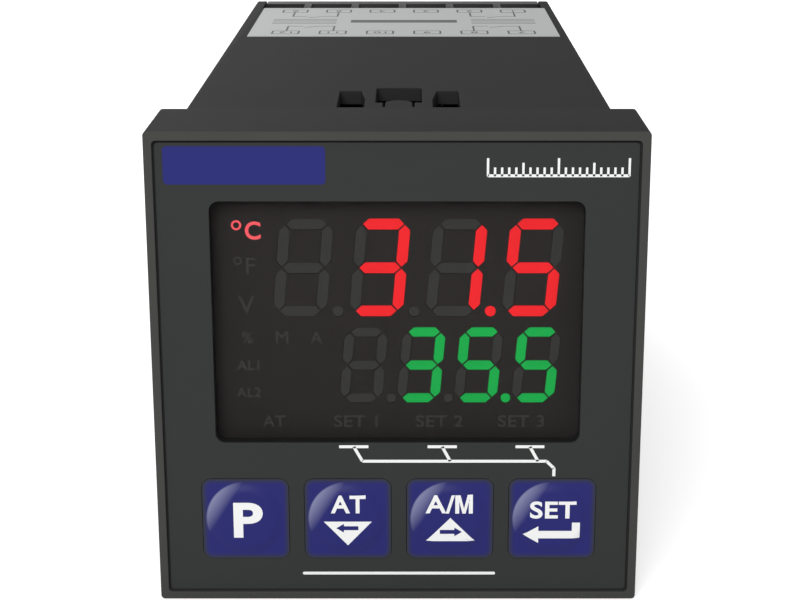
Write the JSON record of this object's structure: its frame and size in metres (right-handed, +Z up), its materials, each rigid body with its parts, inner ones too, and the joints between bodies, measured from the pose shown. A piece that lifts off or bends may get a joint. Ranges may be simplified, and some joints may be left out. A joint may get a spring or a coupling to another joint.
{
  "type": "panel-mount process temperature controller",
  "caption": "Square panel controller with a two-line digital display above sprung keys, a deep black case with clamp sockets, and screw terminals at the rear.",
  "frame": {"origin": "centre of the plane where the gasket seats on the panel's front face", "axes": "+X to the right seen from the front, +Y back through the panel, +Z up"},
  "size_m": [0.048, 0.1148, 0.048],
  "materials": {
    "bezel_plastic": "fine matt moulded ABS, nearly black",
    "overlay_film": "printed polyester film, satin, charcoal",
    "smoked_window": "smoked acrylic lens, smooth",
    "key_blue": "embossed blue key, satin",
    "case_plastic": "fine-grained black moulded case",
    "gasket_rubber": "soft black rubber",
    "segment_red": "lit red epoxy light guide",
    "segment_green": "lit green epoxy light guide",
    "segment_dark": "unlit epoxy light guide",
    "reflector_plastic": "black face of the display module",
    "board": "green glass-fibre circuit board",
    "switch_plastic": "black switch moulding",
    "component_black": "black moulded component",
    "relay_blue": "blue relay cover",
    "crystal_can": "plated steel can",
    "capacitor_sleeve": "shrink sleeve of a capacitor",
    "fuse_body": "ceramic fuse body",
    "core_ferrite": "grey ferrite core",
    "winding_tape": "yellow tape over the winding",
    "terminal_plastic": "black glass-filled nylon",
    "cage_steel": "zinc-plated steel",
    "screw_steel": "nickel-plated steel",
    "contact_tin": "tinned brass",
    "label_paper": "grey-white printed label film"
  },
  "bodies": {
    "root": {"front_bezel": "bezel_plastic", "front_overlay": "overlay_film", "display_window": "smoked_window", "panel_gasket": "gasket_rubber", "red_segments_lit": "segment_red", "red_segments_dark": "segment_dark", "green_segments_lit": "segment_green", "green_segments_dark": "segment_dark", "legend_lamps": "segment_dark", "display_reflector": "reflector_plastic", "display_board": "board", "upper_board": "board", "lower_board": "board", "upper_header": "component_black", "lower_header": "component_black", "transformer_core": "core_ferrite", "transformer_winding": "winding_tape", "mains_capacitor": "capacitor_sleeve", "mains_fuse": "fuse_body", "output_relays": "relay_blue", "processor_chip": "component_black", "clock_crystal": "crystal_can", "amplifier_chips": "component_black", "case_sleeve": "case_plastic", "wiring_label": "label_paper", "upper_terminal_block": "terminal_plastic", "lower_terminal_block": "terminal_plastic", "terminal_cages": "cage_steel", "terminal_screws": "screw_steel", "terminal_contacts": "contact_tin", "rear_plate": "case_plastic", "switch_body_program": "switch_plastic", "switch_body_down": "switch_plastic", "switch_body_up": "switch_plastic", "switch_body_set": "switch_plastic"},
    "key_program": {"key_program": "key_blue", "switch_plunger_program": "switch_plastic"},
    "key_down": {"key_down": "key_blue", "switch_plunger_down": "switch_plastic"},
    "key_up": {"key_up": "key_blue", "switch_plunger_up": "switch_plastic"},
    "key_set": {"key_set": "key_blue", "switch_plunger_set": "switch_plastic"}
  },
  "joints": [
    {"name": "press_program", "type": "slide", "parent": "root", "child": "key_program", "axis": [0, 1, 0], "range_m": [0, 0.00035], "stiffness_N_per_m": 3000},
    {"name": "press_down", "type": "slide", "parent": "root", "child": "key_down", "axis": [0, 1, 0], "range_m": [0, 0.00035], "stiffness_N_per_m": 3000},
    {"name": "press_up", "type": "slide", "parent": "root", "child": "key_up", "axis": [0, 1, 0], "range_m": [0, 0.00035], "stiffness_N_per_m": 3000},
    {"name": "press_set", "type": "slide", "parent": "root", "child": "key_set", "axis": [0, 1, 0], "range_m": [0, 0.00035], "stiffness_N_per_m": 3000}
  ]
}
